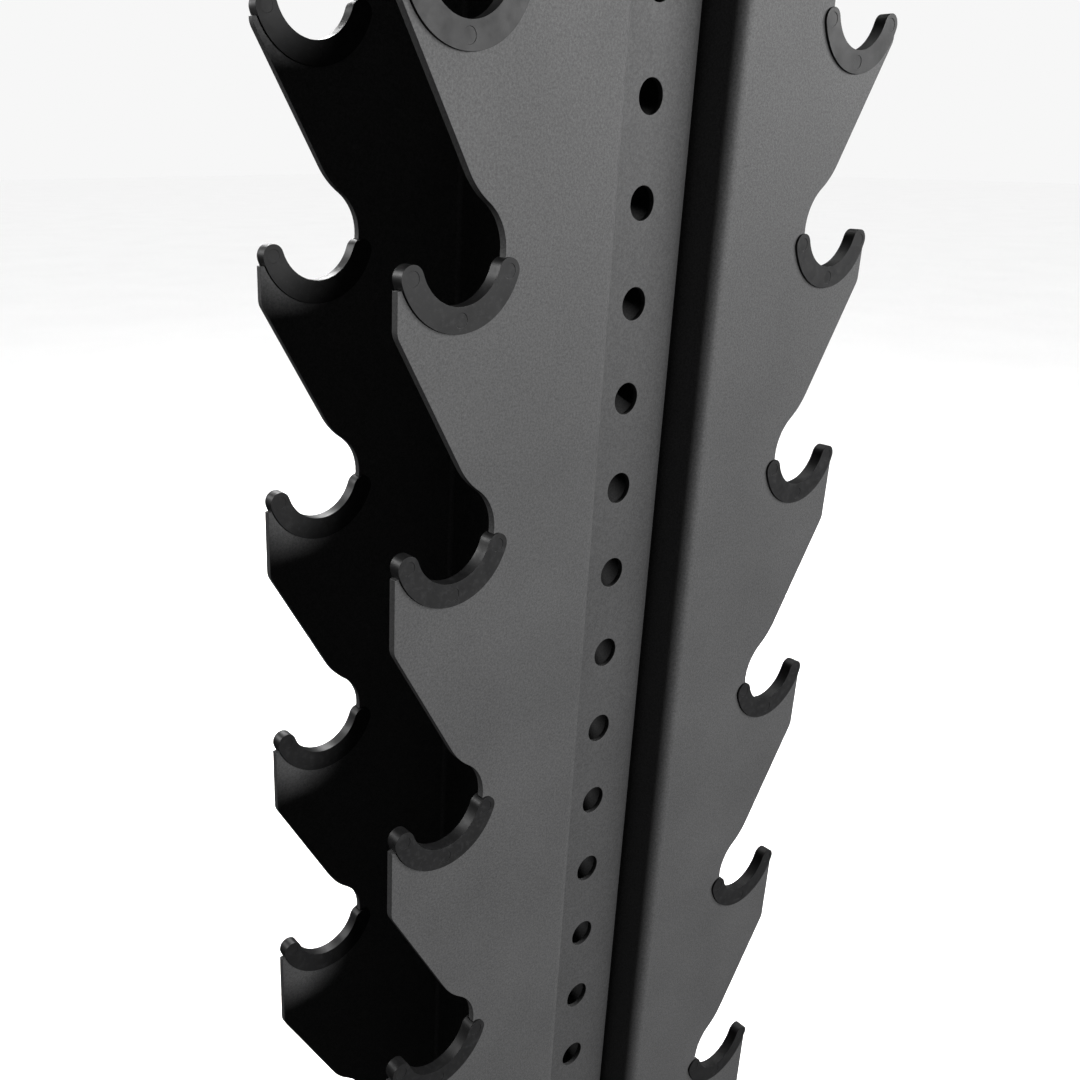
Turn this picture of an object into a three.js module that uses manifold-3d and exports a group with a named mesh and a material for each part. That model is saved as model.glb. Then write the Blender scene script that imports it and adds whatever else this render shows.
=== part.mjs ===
// Vertical dumbbell rack: a holed square upright between two folded saw-tooth channels.
// Each channel has a front and a rear fin, and every notch of a fin carries a clip-on
// plastic saddle. A handle lies across the front and rear saddles of one tier.
// Units are millimetres. +X is to the right, +Y to the rear, +Z up. The origin is on the
// floor, at the middle of the footprint.

import * as THREE from 'three';
import { mergeVertices } from 'three/addons/utils/BufferGeometryUtils.js';
import Module from 'manifold-3d';

const wasm = await Module();
wasm.setup();

// ---- Driving dimensions ------------------------------------------------------------

const GAP = 0.3;                       // clearance between touching pieces

const TUBE = 75;                       // upright, square section
const TUBE_WALL = 3;
const TUBE_RADIUS = 10;                // outer corner radius
const UPRIGHT_TOP = 1278;

const HOLE_PITCH = 50;
const HOLE_RADIUS = 8.5;
const FIRST_HOLE_Z = 144;
const HOLE_ROWS = 23;

const PLATE = 4;                       // thickness of the folded channels
const BEND_RADIUS = 7;                 // outer radius of the folds
const FIN_PITCH = 113;                 // front fin to rear fin, middle to middle
const CHANNEL_BOTTOM_Z = 104;

const SADDLE_X = 134.5;                // handle line, from the middle of the rack
const LOWEST_TIER_Z = 235.5;
const TIER_RISES = [160, 159, 148.5, 147, 128.5, 112.5, 112.5];

const NOTCH_RADIUS = 25.1;
const FIN_TIP = 33.5;                   // handle line to the fin's vertical edge
const FIN_TIP_TOP = -13.2;             // top of the fin's hook, from the handle line
const SLANT = THREE.MathUtils.degToRad(60);
const SLANT_OFFSET = 19.2;             // handle line to the slanted edge above it
const CORNER_FILLET = 9;
const SHOULDER_FILLET = 40;

const SADDLE_INNER = 22.1;
const SADDLE_OUTER = 33.9;
const SADDLE_WIDTH = 6.6;
const SADDLE_TIP = THREE.MathUtils.degToRad(18);   // tip centres, below the handle line
const SLOT_WIDTH = PLATE + 2 * GAP;
const SLOT_RADIUS = NOTCH_RADIUS - GAP;

const BOLT_ROWS = [3, 9, 15, 20];      // hole rows where a bolt clamps the channels
const BOLT_RADIUS = 8;
const BOLT_FLANGE_RADIUS = 16;
const BOLT_FLANGE = 3;
const BOLT_HEX = 24;                   // across flats
const BOLT_HEAD = 10;
const NUT_HEIGHT = 14;
const BOLT_STICK_OUT = 4;

const RUNNER_X = 230;                  // middle of each floor runner
const RUNNER_WIDTH = 60;
const RUNNER_HEIGHT = 40;
const RUNNER_LENGTH = 520;
const RUNNER_RADIUS = 6;
const BEAM_WIDTH = 100;
const PLUG_LIP = 4;
const PLUG_DEPTH = 18;

const BASE_PLATE_X = 150;
const BASE_PLATE_Y = 100;
const BASE_PLATE_THICK = 8;
const BASE_BOLT_X = 60;
const BASE_BOLT_Y = 36;
const BASE_BOLT_RADIUS = 6;
const BASE_BOLT_LENGTH = 30;
const BASE_BOLT_HEX = 18;
const BASE_BOLT_HEAD = 8;

const FOOT_Y = 225;
const FOOT_RADIUS = 24;
const FOOT_HEIGHT = 14;
const STUD_RADIUS = 6;
const STUD_TOP = 26;

const ROUND_SIDES = 10;                // sides of bolts and holes
const NOTCH_SIDES = 12;
const SADDLE_SIDES = 8;
const FILLET_SIDES = 3;

// ---- Derived dimensions ------------------------------------------------------------

const WEB_X = TUBE / 2 + GAP;          // web face that lies against the upright
const CHANNEL_DEPTH = FIN_PITCH + PLATE;
const TIER_HEIGHTS = TIER_RISES.reduce(
  (heights, rise) => [...heights, heights[heights.length - 1] + rise],
  [LOWEST_TIER_Z],
);
const CHANNEL_TOP_Z = TIER_HEIGHTS[TIER_HEIGHTS.length - 1] + 34;
const RUNNER_BOTTOM_Z = FOOT_HEIGHT + GAP;
const BEAM_TOP_Z = RUNNER_BOTTOM_Z + RUNNER_HEIGHT;
const BASE_PLATE_Z = BEAM_TOP_Z + GAP;
const UPRIGHT_BOTTOM_Z = BASE_PLATE_Z + BASE_PLATE_THICK + GAP;

// ---- Materials ---------------------------------------------------------------------

const powderCoat = () => new THREE.MeshStandardMaterial({ color: 0x4b4c4e, roughness: 0.62, metalness: 0.1 });
const blackPlastic = () => new THREE.MeshStandardMaterial({ color: 0x17181a, roughness: 0.42, metalness: 0 });
const blackSteel = () => new THREE.MeshStandardMaterial({ color: 0x2a2b2d, roughness: 0.4, metalness: 0.8 });
const rubber = () => new THREE.MeshStandardMaterial({ color: 0x1b1b1b, roughness: 0.8, metalness: 0 });

// ---- Solids ------------------------------------------------------------------------

function toSolid(geometry) {
  const bare = geometry.clone();
  bare.deleteAttribute('normal');
  bare.deleteAttribute('uv');
  const merged = mergeVertices(bare);
  return new wasm.Manifold(new wasm.Mesh({
    numProp: 3,
    vertProperties: new Float32Array(merged.attributes.position.array),
    triVerts: new Uint32Array(merged.index.array),
  }));
}

function toGeometry(solid) {
  const mesh = solid.getMesh();
  const geometry = new THREE.BufferGeometry();
  geometry.setAttribute('position', new THREE.BufferAttribute(mesh.vertProperties, 3));
  geometry.setIndex(new THREE.BufferAttribute(mesh.triVerts, 1));
  geometry.computeVertexNormals();
  return geometry;
}

// A cylinder centred on the given point, along 'x', 'y' or 'z'.
function rod(radius, length, axis, x, y, z, sides = ROUND_SIDES) {
  const geometry = new THREE.CylinderGeometry(radius, radius, length, sides);
  if (axis === 'x') geometry.rotateZ(-Math.PI / 2);
  if (axis === 'z') geometry.rotateX(Math.PI / 2);
  return geometry.translate(x, y, z);
}

// Carries a path on along an arc, from angle `from` to angle `to`, in straight sides.
function arcTo(path, x, y, radius, from, to, sides = FILLET_SIDES) {
  for (let step = 0; step <= sides; step += 1) {
    const angle = from + ((to - from) * step) / sides;
    path.lineTo(x + radius * Math.cos(angle), y + radius * Math.sin(angle));
  }
}

function roundedRectangle(path, width, height, radius) {
  const x = width / 2 - radius;
  const y = height / 2 - radius;
  path.moveTo(x + radius, -y);
  path.lineTo(x + radius, y);
  arcTo(path, x, y, radius, 0, Math.PI / 2);
  arcTo(path, -x, y, radius, Math.PI / 2, Math.PI);
  arcTo(path, -x, -y, radius, Math.PI, 1.5 * Math.PI);
  arcTo(path, x, -y, radius, 1.5 * Math.PI, 2 * Math.PI);
  return path;
}

// A rounded bar or tube of the given section, from z = 0 to z = length.
function bar(width, height, radius, length, wall = 0) {
  const section = roundedRectangle(new THREE.Shape(), width, height, radius);
  if (wall > 0) {
    section.holes.push(
      roundedRectangle(new THREE.Path(), width - 2 * wall, height - 2 * wall, radius - wall),
    );
  }
  return new THREE.ExtrudeGeometry(section, { depth: length, bevelEnabled: false });
}

// A shape drawn in X and Z, made as deep as asked and centred on Y = 0.
function standingPrism(shape, depth) {
  const geometry = new THREE.ExtrudeGeometry(shape, { depth, bevelEnabled: false });
  return geometry.rotateX(Math.PI / 2).translate(0, depth / 2, 0);
}

function hexagon(acrossFlats, height) {
  return new THREE.CylinderGeometry(
    acrossFlats / Math.sqrt(3),
    acrossFlats / Math.sqrt(3),
    height,
    6,
  );
}

// ---- Fin outline -------------------------------------------------------------------

// Outline of a fin in X and Z, from the web outwards. Each tier's notch is part of a
// circle round the handle line. A slanted edge leads down to it from the tooth above,
// and the notch ends at the hook, whose vertical edge reaches down to the next slant.
function finOutline() {
  const shape = new THREE.Shape();
  const slantIn = new THREE.Vector2(-Math.sin(SLANT), Math.cos(SLANT));
  const slantDown = new THREE.Vector2(-Math.cos(SLANT), -Math.sin(SLANT));
  const shoulderReach = NOTCH_RADIUS + SHOULDER_FILLET;
  const shoulderDepth = SLANT_OFFSET + SHOULDER_FILLET;
  const shoulderSlide = Math.sqrt(shoulderReach ** 2 - shoulderDepth ** 2);
  const shoulder = slantIn.clone().multiplyScalar(shoulderDepth)
    .addScaledVector(slantDown, -shoulderSlide);
  const shoulderAngle = Math.atan2(shoulder.y, shoulder.x);
  const hookAngle = 2 * Math.PI + Math.asin(FIN_TIP_TOP / NOTCH_RADIUS);
  const cornerRise = (SLANT_OFFSET + FIN_TIP * Math.sin(SLANT)) / Math.cos(SLANT);
  const cornerTrim = CORNER_FILLET * Math.tan((Math.PI / 2 - SLANT) / 2);
  const tipX = SADDLE_X + FIN_TIP;
  const wallX = SADDLE_X - NOTCH_RADIUS;
  const footRise = 44;
  const topFillet = 12;

  shape.moveTo(WEB_X, CHANNEL_TOP_Z);
  shape.lineTo(WEB_X, CHANNEL_BOTTOM_Z);

  TIER_HEIGHTS.forEach((tierZ, tier) => {
    const cornerZ = tier === 0 ? tierZ - footRise : TIER_HEIGHTS[tier - 1] + cornerRise;
    if (tier === 0) {
      const footX = tipX - (cornerZ - CHANNEL_BOTTOM_Z) / Math.tan(SLANT);
      shape.lineTo(footX, CHANNEL_BOTTOM_Z);
    }
    arcTo(shape, tipX - CORNER_FILLET, cornerZ + cornerTrim, CORNER_FILLET, SLANT - Math.PI / 2, 0);
    shape.lineTo(tipX, tierZ + FIN_TIP_TOP);
    const last = tier === TIER_HEIGHTS.length - 1;
    const notchEnd = last ? Math.PI : shoulderAngle;
    arcTo(shape, SADDLE_X, tierZ, NOTCH_RADIUS, hookAngle, notchEnd, NOTCH_SIDES);
    if (last) {
      arcTo(shape, wallX - topFillet, CHANNEL_TOP_Z - topFillet, topFillet, 0, Math.PI / 2);
    } else {
      arcTo(
        shape,
        SADDLE_X + shoulder.x,
        tierZ + shoulder.y,
        SHOULDER_FILLET,
        shoulderAngle - Math.PI,
        SLANT - Math.PI / 2,
      );
    }
  });
  shape.closePath();
  return shape;
}

// The folded section seen from above: web along Y, with a fin folded out at each end.
function channelSection() {
  const outer = CHANNEL_DEPTH / 2;
  const inner = outer - PLATE;
  const tipX = SADDLE_X + FIN_TIP + 1;
  const innerRadius = BEND_RADIUS - PLATE;
  const bendX = WEB_X + BEND_RADIUS;
  const shape = new THREE.Shape();
  shape.moveTo(tipX, -outer);
  shape.lineTo(tipX, -inner);
  arcTo(shape, bendX, -inner + innerRadius, innerRadius, 1.5 * Math.PI, Math.PI);
  arcTo(shape, bendX, inner - innerRadius, innerRadius, Math.PI, Math.PI / 2);
  shape.lineTo(tipX, inner);
  shape.lineTo(tipX, outer);
  arcTo(shape, bendX, outer - BEND_RADIUS, BEND_RADIUS, Math.PI / 2, Math.PI);
  arcTo(shape, bendX, -outer + BEND_RADIUS, BEND_RADIUS, Math.PI, 1.5 * Math.PI);
  shape.closePath();
  return shape;
}

function holeZ(row) {
  return FIRST_HOLE_Z + row * HOLE_PITCH;
}

// Right-hand channel. The left one is the same piece turned half a turn about Z.
function channelGeometry() {
  const folded = new THREE.ExtrudeGeometry(channelSection(), {
    depth: CHANNEL_TOP_Z - CHANNEL_BOTTOM_Z + 2,
    bevelEnabled: false,
  }).translate(0, 0, CHANNEL_BOTTOM_Z - 1);
  let channel = toSolid(folded).intersect(toSolid(standingPrism(finOutline(), CHANNEL_DEPTH + 10)));
  BOLT_ROWS.forEach((row) => {
    channel = channel.subtract(toSolid(rod(HOLE_RADIUS, 30, 'x', WEB_X, 0, holeZ(row))));
  });
  return toGeometry(channel);
}

// Saddle round its handle line, with the closed tip at +X. Two flanges grip the fin, and
// the slot between them is open at the inner tip, where the fin's wall rises through it.
function saddleGeometry() {
  const middle = (SADDLE_INNER + SADDLE_OUTER) / 2;
  const tip = (SADDLE_OUTER - SADDLE_INNER) / 2;
  const right = 2 * Math.PI - SADDLE_TIP;
  const left = Math.PI + SADDLE_TIP;
  const shape = new THREE.Shape();
  shape.moveTo(SADDLE_OUTER * Math.cos(left), SADDLE_OUTER * Math.sin(left));
  arcTo(shape, 0, 0, SADDLE_OUTER, left, right, SADDLE_SIDES);
  arcTo(shape, middle * Math.cos(right), middle * Math.sin(right), tip, right, right + Math.PI);
  arcTo(shape, 0, 0, SADDLE_INNER, right, left, SADDLE_SIDES);
  arcTo(shape, middle * Math.cos(left), middle * Math.sin(left), tip, left - Math.PI, left);
  const body = toSolid(standingPrism(shape, SADDLE_WIDTH));

  const slot = new THREE.Shape();
  const reach = SADDLE_OUTER + 10;
  const slotTop = FIN_TIP_TOP + GAP;
  const slotEnd = 2 * Math.PI + Math.asin(slotTop / SLOT_RADIUS);
  slot.moveTo(-reach, 0);
  slot.lineTo(-reach, -reach);
  slot.lineTo(reach, -reach);
  slot.lineTo(reach, slotTop);
  arcTo(slot, 0, 0, SLOT_RADIUS, slotEnd, Math.PI, SADDLE_SIDES);
  slot.closePath();
  return toGeometry(body.subtract(toSolid(standingPrism(slot, SLOT_WIDTH))));
}

// Square upright with its rows of holes through the front and rear walls.
function uprightGeometry() {
  const tube = bar(TUBE, TUBE, TUBE_RADIUS, UPRIGHT_TOP - UPRIGHT_BOTTOM_Z, TUBE_WALL);
  let upright = toSolid(tube.translate(0, 0, UPRIGHT_BOTTOM_Z));
  for (let row = 0; row < HOLE_ROWS; row += 1) {
    upright = upright.subtract(toSolid(rod(HOLE_RADIUS, TUBE + 10, 'y', 0, 0, holeZ(row))));
  }
  BOLT_ROWS.forEach((row) => {
    upright = upright.subtract(toSolid(rod(HOLE_RADIUS, TUBE + 10, 'x', 0, 0, holeZ(row))));
  });
  return toGeometry(upright);
}

// ---- Fasteners ---------------------------------------------------------------------

// Flanged hexagon bolt along +X. The underside of its flange is at X = 0.
function clampBoltGeometry() {
  const length = 2 * (WEB_X + PLATE + GAP) + NUT_HEIGHT + BOLT_STICK_OUT;
  const shank = rod(BOLT_RADIUS, length + 1, 'x', (length - 1) / 2, 0, 0);
  const flange = rod(BOLT_FLANGE_RADIUS, BOLT_FLANGE, 'x', -BOLT_FLANGE / 2, 0, 0);
  const head = hexagon(BOLT_HEX, BOLT_HEAD + 1).rotateZ(Math.PI / 2)
    .translate(-BOLT_FLANGE - (BOLT_HEAD - 1) / 2, 0, 0);
  return toGeometry(toSolid(flange).add(toSolid(shank)).add(toSolid(head)));
}

// Flanged nut along +X. Its seating face is at X = 0.
function clampNutGeometry() {
  const flange = rod(BOLT_FLANGE_RADIUS, BOLT_FLANGE, 'x', BOLT_FLANGE / 2, 0, 0);
  const body = hexagon(BOLT_HEX, NUT_HEIGHT - 1).rotateZ(Math.PI / 2)
    .translate((NUT_HEIGHT + 1) / 2, 0, 0);
  const bore = rod(HOLE_RADIUS, 3 * NUT_HEIGHT, 'x', 0, 0, 0);
  return toGeometry(toSolid(flange).add(toSolid(body)).subtract(toSolid(bore)));
}

// Hexagon bolt along -Z. The underside of its head is at Z = 0.
function baseBoltGeometry() {
  const shank = rod(BASE_BOLT_RADIUS, BASE_BOLT_LENGTH + 1, 'z', 0, 0, (1 - BASE_BOLT_LENGTH) / 2);
  const head = hexagon(BASE_BOLT_HEX, BASE_BOLT_HEAD).rotateX(Math.PI / 2)
    .translate(0, 0, BASE_BOLT_HEAD / 2);
  return toGeometry(toSolid(shank).add(toSolid(head)));
}

// ---- Base --------------------------------------------------------------------------

function baseBoltPlaces() {
  return [-1, 1].flatMap((sideX) => [-1, 1].map((sideY) => [sideX * BASE_BOLT_X, sideY * BASE_BOLT_Y]));
}

function cutBaseBoltHoles(solid, height) {
  return baseBoltPlaces().reduce(
    (left, [x, y]) => left.subtract(toSolid(rod(BASE_BOLT_RADIUS + 0.5, height, 'z', x, y, BEAM_TOP_Z))),
    solid,
  );
}

function crossBeamGeometry() {
  const length = 2 * (RUNNER_X - RUNNER_WIDTH / 2 - GAP);
  const tube = bar(RUNNER_HEIGHT, BEAM_WIDTH, RUNNER_RADIUS, length, TUBE_WALL)
    .rotateY(Math.PI / 2)
    .translate(-length / 2, 0, RUNNER_BOTTOM_Z + RUNNER_HEIGHT / 2);
  return toGeometry(cutBaseBoltHoles(toSolid(tube), 20));
}

function basePlateGeometry() {
  const plate = bar(BASE_PLATE_X, BASE_PLATE_Y, 12, BASE_PLATE_THICK).translate(0, 0, BASE_PLATE_Z);
  return toGeometry(cutBaseBoltHoles(toSolid(plate), 40));
}

// Floor runner along Y, round the middle of its length, with the two stud holes below.
function runnerGeometry() {
  const tube = bar(RUNNER_WIDTH, RUNNER_HEIGHT, RUNNER_RADIUS, RUNNER_LENGTH, TUBE_WALL)
    .rotateX(Math.PI / 2)
    .translate(0, RUNNER_LENGTH / 2, RUNNER_BOTTOM_Z + RUNNER_HEIGHT / 2);
  let runner = toSolid(tube);
  [-FOOT_Y, FOOT_Y].forEach((y) => {
    runner = runner.subtract(toSolid(rod(STUD_RADIUS + 0.5, 10, 'z', 0, y, RUNNER_BOTTOM_Z)));
  });
  return toGeometry(runner);
}

// Plastic plug for a tube end: a lip as large as the tube and a shank that fits inside.
function plugGeometry(width, height, radius) {
  const lip = bar(width, height, radius, PLUG_LIP);
  const inset = 2 * (TUBE_WALL + GAP);
  const shank = bar(width - inset, height - inset, radius - inset / 2, PLUG_DEPTH + 1)
    .translate(0, 0, -PLUG_DEPTH);
  return toGeometry(toSolid(lip).add(toSolid(shank)));
}

// Rubber foot: a tapered pad with a stem that is pushed up into the runner.
function footGeometry() {
  const profile = [
    [0, 0],
    [FOOT_RADIUS - 3, 0],
    [FOOT_RADIUS - 1, 2],
    [FOOT_RADIUS, FOOT_HEIGHT],
    [STUD_RADIUS, FOOT_HEIGHT],
    [STUD_RADIUS, STUD_TOP],
    [0, STUD_TOP],
  ].map(([x, y]) => new THREE.Vector2(x, y));
  return new THREE.LatheGeometry(profile, 16).rotateX(Math.PI / 2);
}

// ---- Assembly ----------------------------------------------------------------------

const rack = new THREE.Group();

function place(name, geometry, material, x = 0, y = 0, z = 0, turnZ = 0) {
  const mesh = new THREE.Mesh(geometry, material);
  mesh.name = name;
  mesh.position.set(x, y, z);
  mesh.rotation.z = turnZ;
  rack.add(mesh);
  return mesh;
}

function addFrame() {
  const channel = channelGeometry();
  place('upright', uprightGeometry(), powderCoat());
  place('channel_right', channel, powderCoat());
  place('channel_left', channel, powderCoat(), 0, 0, 0, Math.PI);
  place('upright_cap', plugGeometry(TUBE, TUBE, TUBE_RADIUS), blackPlastic(), 0, 0, UPRIGHT_TOP + GAP);
}

function addSaddles() {
  const saddle = saddleGeometry();
  TIER_HEIGHTS.forEach((tierZ, tier) => {
    [['left', -1], ['right', 1]].forEach(([side, sideX]) => {
      [['front', -1], ['rear', 1]].forEach(([end, endY]) => {
        const name = `saddle_${tier + 1}_${side}_${end}`;
        const turn = sideX > 0 ? 0 : Math.PI;
        place(name, saddle, blackPlastic(), sideX * SADDLE_X, endY * FIN_PITCH / 2, tierZ, turn);
      });
    });
  });
}

function addClampBolts() {
  const bolt = clampBoltGeometry();
  const nut = clampNutGeometry();
  const seat = WEB_X + PLATE + GAP;
  BOLT_ROWS.forEach((row, index) => {
    place(`clamp_bolt_${index + 1}`, bolt, blackSteel(), -seat, 0, holeZ(row));
    place(`clamp_nut_${index + 1}`, nut, blackSteel(), seat, 0, holeZ(row));
  });
}

function addBase() {
  const runner = runnerGeometry();
  const plug = plugGeometry(RUNNER_WIDTH, RUNNER_HEIGHT, RUNNER_RADIUS);
  const foot = footGeometry();
  const bolt = baseBoltGeometry();
  const boltZ = BASE_PLATE_Z + BASE_PLATE_THICK + GAP;
  const plugZ = RUNNER_BOTTOM_Z + RUNNER_HEIGHT / 2;
  place('cross_beam', crossBeamGeometry(), powderCoat());
  place('base_plate', basePlateGeometry(), powderCoat());
  baseBoltPlaces().forEach(([x, y], index) => {
    place(`base_bolt_${index + 1}`, bolt, blackSteel(), x, y, boltZ);
  });
  [['left', -1], ['right', 1]].forEach(([side, sideX]) => {
    const x = sideX * RUNNER_X;
    place(`runner_${side}`, runner, powderCoat(), x);
    [['front', -1], ['rear', 1]].forEach(([end, endY]) => {
      const cap = place(`runner_cap_${side}_${end}`, plug, blackPlastic());
      cap.position.set(x, endY * (RUNNER_LENGTH / 2 + GAP), plugZ);
      cap.rotation.set(-endY * Math.PI / 2, 0, 0);
      place(`foot_${side}_${end}`, foot, rubber(), x, endY * FOOT_Y);
    });
  });
}

addFrame();
addSaddles();
addClampBolts();
addBase();

export default rack;
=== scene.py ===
"""Looks of a vertical dumbbell rack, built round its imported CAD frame.

The rack is a holed square upright between two folded saw-tooth channels. Every notch of a
channel carries a clip-on moulded saddle. The upright stands on an H-shaped floor base.
"""

from __future__ import annotations

import logging
import math
from dataclasses import dataclass
from enum import Enum
from typing import Callable, Mapping, Sequence

import bpy
from mathutils import Euler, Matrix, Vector


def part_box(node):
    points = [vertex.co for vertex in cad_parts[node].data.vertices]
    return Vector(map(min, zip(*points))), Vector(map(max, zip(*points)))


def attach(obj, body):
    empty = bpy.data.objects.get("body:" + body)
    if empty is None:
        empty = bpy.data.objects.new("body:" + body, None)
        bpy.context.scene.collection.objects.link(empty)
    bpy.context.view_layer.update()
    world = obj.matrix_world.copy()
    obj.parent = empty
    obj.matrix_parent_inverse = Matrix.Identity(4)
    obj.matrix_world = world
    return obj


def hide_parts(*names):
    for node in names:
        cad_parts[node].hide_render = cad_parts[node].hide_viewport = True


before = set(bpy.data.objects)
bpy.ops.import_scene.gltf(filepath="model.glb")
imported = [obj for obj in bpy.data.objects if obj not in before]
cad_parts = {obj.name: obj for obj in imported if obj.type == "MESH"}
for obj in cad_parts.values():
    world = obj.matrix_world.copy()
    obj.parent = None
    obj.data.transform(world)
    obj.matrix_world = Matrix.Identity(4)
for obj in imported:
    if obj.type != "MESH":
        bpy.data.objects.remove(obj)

LOG = logging.getLogger("dumbbell_rack")
MM = 0.001
BODY = "root"

QUARTER = math.pi / 2
DRILL_SIDES = 40
ROUND_SIDES = 48
CORNER_STEPS = 10
BEAD_CORNER_STEPS = 6
CROWN = 0.985  # radius of the cone that chamfers a hexagon, as a share of the hexagon's own

Piece = bpy.types.Object
Material = bpy.types.Material
Socket = bpy.types.NodeSocket
Place = tuple[float, float, float]
Colour = tuple[float, float, float]


# ---- Bench tools ----------------------------------------------------------------------


class Plane(Enum):
    """The plane that an outline is drawn in. The value is its second axis and its normal."""

    FRONT = ((0.0, 0.0, 1.0), (0.0, -1.0, 0.0))
    PLAN = ((0.0, 1.0, 0.0), (0.0, 0.0, 1.0))

    def point(self, u: float, v: float) -> Vector:
        """A point of the plane, from its two coordinates."""
        return Vector((u, 0.0, 0.0)) + Vector(self.value[0]) * v

    @property
    def normal(self) -> Vector:
        """The plane's normal."""
        return Vector(self.value[1])


class Bench:
    """The operators that shape one mesh object at a time."""

    @staticmethod
    def leave() -> None:
        """Leaves edit mode."""
        bpy.ops.object.mode_set(mode="OBJECT")

    @staticmethod
    def clear() -> None:
        """Leaves edit mode and deselects everything."""
        if bpy.context.object and bpy.context.object.mode != "OBJECT":
            Bench.leave()
        bpy.ops.object.select_all(action="DESELECT")

    @classmethod
    def pick(cls, piece: Piece) -> None:
        """Makes a piece the only selected object, and the active one."""
        cls.clear()
        piece.select_set(True)
        bpy.context.view_layer.objects.active = piece

    @classmethod
    def edit(cls, piece: Piece, mode: str = "VERT") -> None:
        """Opens a piece in edit mode with nothing selected.

        Args:
            piece: The object to edit.
            mode: The kind of element that is selected, VERT, EDGE or FACE.
        """
        cls.pick(piece)
        bpy.ops.object.mode_set(mode="EDIT")
        bpy.ops.mesh.select_mode(type=mode)
        bpy.ops.mesh.select_all(action="DESELECT")

    @classmethod
    def faces(cls, piece: Piece, test: Callable[[Vector, Vector], bool]) -> None:
        """Opens a piece in edit mode with the faces that pass a test selected.

        Args:
            piece: The object to edit.
            test: Takes a face's centre and normal.
        """
        cls.edit(piece, "FACE")
        Bench.leave()
        for face in piece.data.polygons:
            face.select = test(face.center, face.normal)
        bpy.ops.object.mode_set(mode="EDIT")

    @classmethod
    def apply_modifier(cls, piece: Piece, kind: str, **settings: object) -> None:
        """Adds a modifier with its settings, and applies it.

        Args:
            piece: The object that the modifier shapes.
            kind: The modifier's type.
            **settings: The modifier's own settings.
        """
        cls.pick(piece)
        modifier = piece.modifiers.new(kind.title(), kind)
        for name, value in settings.items():
            setattr(modifier, name, value)
        bpy.ops.object.modifier_apply(modifier=modifier.name)

    @classmethod
    def combine(cls, piece: Piece, tool: Piece, operation: str) -> None:
        """Joins, cuts or intersects a piece with a tool, which is used up.

        Args:
            piece: The object that is kept.
            tool: The object that shapes it.
            operation: UNION, DIFFERENCE or INTERSECT.
        """
        cls.apply_modifier(piece, "BOOLEAN", object=tool, operation=operation, solver="EXACT")
        cls.discard(tool)

    @classmethod
    def discard(cls, *pieces: Piece) -> None:
        """Removes objects that have served their turn."""
        for piece in pieces:
            bpy.data.objects.remove(piece, do_unlink=True)

    @classmethod
    def select_mesh(cls) -> None:
        """Selects the whole of the mesh that is being edited."""
        bpy.ops.mesh.select_all(action="SELECT")

    @classmethod
    def face_out(cls) -> None:
        """Turns all faces of the mesh outwards and leaves edit mode."""
        cls.select_mesh()
        bpy.ops.mesh.normals_make_consistent(inside=False)
        cls.leave()

    @classmethod
    def merge(cls, pieces: Sequence[Piece]) -> Piece:
        """Joins several objects into one mesh without welding them, and returns it."""
        cls.pick(pieces[0])
        for piece in pieces:
            piece.select_set(True)
        bpy.ops.object.join()
        return pieces[0]

    @classmethod
    def clean(cls, piece: Piece, distance: float = 0.005 * MM) -> None:
        """Welds doubled points and turns all faces outwards.

        Args:
            piece: The object to clean.
            distance: Points closer than this become one.
        """
        cls.edit(piece)
        cls.select_mesh()
        bpy.ops.mesh.remove_doubles(threshold=distance)
        bpy.ops.mesh.dissolve_limited(angle_limit=math.radians(0.2))
        cls.face_out()

    @classmethod
    def soften(cls, piece: Piece, width: float, segments: int = 2, angle: float = 35.0) -> None:
        """Rounds every sharp edge of a piece and shades it smooth.

        Args:
            piece: The object to soften.
            width: The width of the rounding, in metres.
            segments: The number of steps across the rounding.
            angle: Edges that turn by less than this, in degrees, are left.
        """
        cls.apply_modifier(
            piece,
            "BEVEL",
            width=width,
            segments=segments,
            limit_method="ANGLE",
            angle_limit=math.radians(angle),
            use_clamp_overlap=True,
            harden_normals=False,
        )
        cls.smooth(piece, angle)
        cls.apply_modifier(piece, "WEIGHTED_NORMAL", mode="FACE_AREA", weight=100, keep_sharp=True)

    @classmethod
    def trim(cls, piece: Piece, width: float) -> None:
        """Cleans a shaped piece and rounds its edges by a width in metres."""
        cls.clean(piece)
        cls.soften(piece, width, 2, 40)

    @classmethod
    def smooth(cls, piece: Piece, angle: float = 35.0) -> None:
        """Shades a piece smooth across edges that turn by less than an angle in degrees."""
        cls.pick(piece)
        bpy.ops.object.shade_smooth_by_angle(angle=math.radians(angle))

    @classmethod
    def settle(cls, piece: Piece) -> None:
        """Moves a piece's place and turn into its mesh."""
        cls.pick(piece)
        bpy.ops.object.transform_apply(location=True, rotation=True, scale=True)

    @classmethod
    def put(cls, piece: Piece, place: Sequence[float], turn: Sequence[float] = (0, 0, 0)) -> None:
        """Turns a piece, moves it to a place and keeps both in its mesh."""
        piece.rotation_euler = Euler(turn)
        piece.location = place
        cls.settle(piece)

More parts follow.
